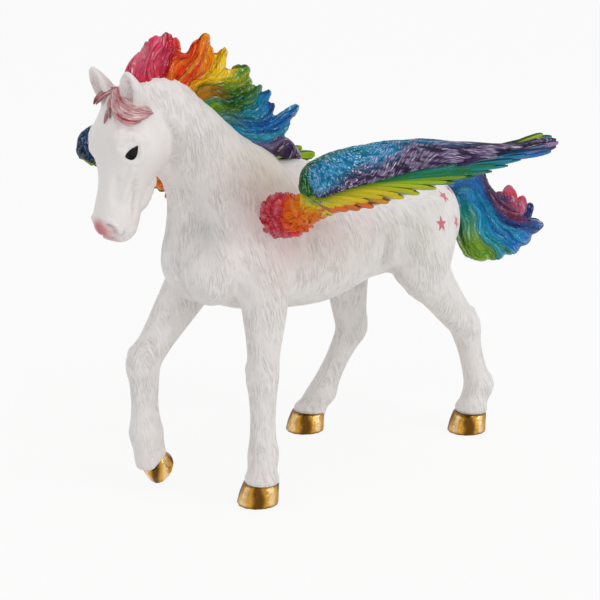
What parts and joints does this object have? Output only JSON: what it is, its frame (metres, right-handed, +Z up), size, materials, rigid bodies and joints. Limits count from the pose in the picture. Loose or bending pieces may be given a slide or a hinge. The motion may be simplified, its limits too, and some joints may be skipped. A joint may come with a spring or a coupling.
{
  "type": "pegasus figurine",
  "caption": "Painted soft-plastic pegasus toy walking with a foreleg raised: cream body, rainbow mane, feathered wings and tail, gold hooves.",
  "frame": {"origin": "middle of the bounding box, on the ground plane under the hooves", "axes": "+X the way the animal faces, +Y its left, +Z up"},
  "size_m": [0.181, 0.1258, 0.1279],
  "materials": {
    "coat": "satin cream paint over engraved hair strokes, faint grey and pink wash in the hollows",
    "hoof_gold": "metallic gold paint",
    "wing_paint": "rainbow brush paint, red at the root through yellow and green to blue and purple",
    "mane_paint": "rainbow brush paint, pink at the poll to purple at the withers",
    "forelock_paint": "pink dry brush over cream",
    "tail_paint": "brush paint, green at the front through blue to purple, pink curl tips",
    "eye_gloss": "gloss black"
  },
  "bodies": {
    "root": {"torso": "coat", "head_and_neck": "coat", "foreleg_left": "coat", "foreleg_right": "coat", "hindleg_left": "coat", "hindleg_right": "coat", "hoof_fore_left": "hoof_gold", "hoof_fore_right": "hoof_gold", "hoof_hind_left": "hoof_gold", "hoof_hind_right": "hoof_gold", "wing_left": "wing_paint", "wing_right": "wing_paint", "mane": "mane_paint", "forelock": "forelock_paint", "tail": "tail_paint", "eye_left": "eye_gloss", "eye_right": "eye_gloss"}
  },
  "joints": []
}
